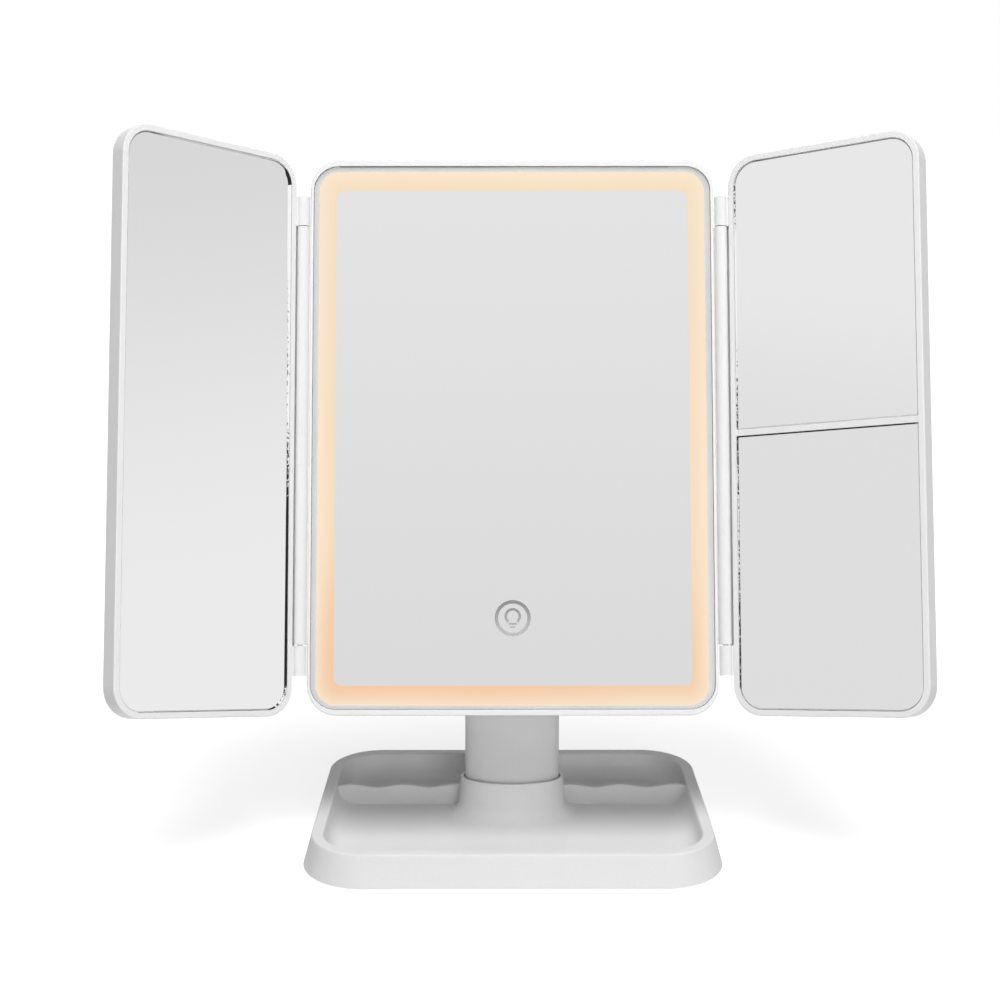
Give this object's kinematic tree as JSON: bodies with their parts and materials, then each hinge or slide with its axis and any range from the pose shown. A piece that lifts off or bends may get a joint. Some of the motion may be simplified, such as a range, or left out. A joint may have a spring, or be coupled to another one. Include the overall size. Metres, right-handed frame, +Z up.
{
  "type": "trifold vanity mirror",
  "caption": "Tabletop trifold mirror: lit centre panel tilting on a column, a wing hinged on each side, and a divided tray base.",
  "frame": {"origin": "on the desk under the middle of the base, 0.8 mm below the flat cover of its underside", "axes": "+X to the right as the user sees it, -Y towards the user, +Z up"},
  "size_m": [0.3381, 0.146, 0.3122],
  "materials": {
    "white_plastic": "fine matte moulded ABS",
    "column_plastic": "smooth satin ABS",
    "cover_plastic": "matte",
    "rubber": "matte translucent grey",
    "steel": "zinc plated",
    "washer_nylon": "natural nylon",
    "mirror_glass": "silvered glass",
    "foam_tape": "white foam",
    "frosted_acrylic": "frosted, lit warm",
    "led_board": "white lacquer",
    "circuit_board": "green lacquer",
    "flat_cable": "satin",
    "cell_jacket": "plain jacket"
  },
  "bodies": {
    "base": {"base_tray": "white_plastic", "base_cover": "cover_plastic", "base_cover_screws": "steel", "rubber_feet": "rubber", "column": "column_plastic", "column_screw": "steel"},
    "head": {"front_bezel": "white_plastic", "centre_mirror": "mirror_glass", "mirror_tape": "foam_tape", "light_diffuser": "frosted_acrylic", "led_strips": "led_board", "control_board": "circuit_board", "board_screws": "steel", "touch_spring": "steel", "ribbon_cable": "flat_cable", "lamp_lead": "flat_cable", "charging_board": "circuit_board", "charging_socket": "steel", "battery_cells": "cell_jacket", "spring_contacts": "steel", "button_contacts": "steel", "back_shell": "white_plastic", "tilt_bolt": "steel", "tilt_nut": "steel", "friction_washers": "washer_nylon", "hinge_caps": "white_plastic", "left_hinge_pins": "steel", "right_hinge_pins": "steel"},
    "battery_door": {"battery_door": "white_plastic"},
    "left_wing": {"left_wing_frame": "white_plastic", "left_wing_cover": "white_plastic", "left_wing_mirror": "mirror_glass", "left_wing_tape": "foam_tape"},
    "right_wing": {"right_wing_frame": "white_plastic", "right_wing_cover": "white_plastic", "right_upper_mirror": "mirror_glass", "right_lower_mirror": "mirror_glass", "right_upper_tape": "foam_tape", "right_lower_tape": "foam_tape"}
  },
  "joints": [
    {"name": "head_tilt", "type": "hinge", "parent": "base", "child": "head", "pos_m": [0, 0.0115, 0.0933], "axis": [-1, 0, 0], "range_deg": [-22, 20]},
    {"name": "left_wing_fold", "type": "hinge", "parent": "head", "child": "left_wing", "pos_m": [-0.0921, 0.01542, 0.17876], "axis": [0, 0.3289, 0.9444], "range_deg": [-43, 137]},
    {"name": "right_wing_fold", "type": "hinge", "parent": "head", "child": "right_wing", "pos_m": [0.0921, 0.01542, 0.17876], "axis": [0, -0.3289, -0.9444], "range_deg": [-34, 146]},
    {"name": "battery_door_slide", "type": "slide", "parent": "head", "child": "battery_door", "axis": [0, 0.3289, 0.9444], "range_m": [0, 0.012]}
  ]
}
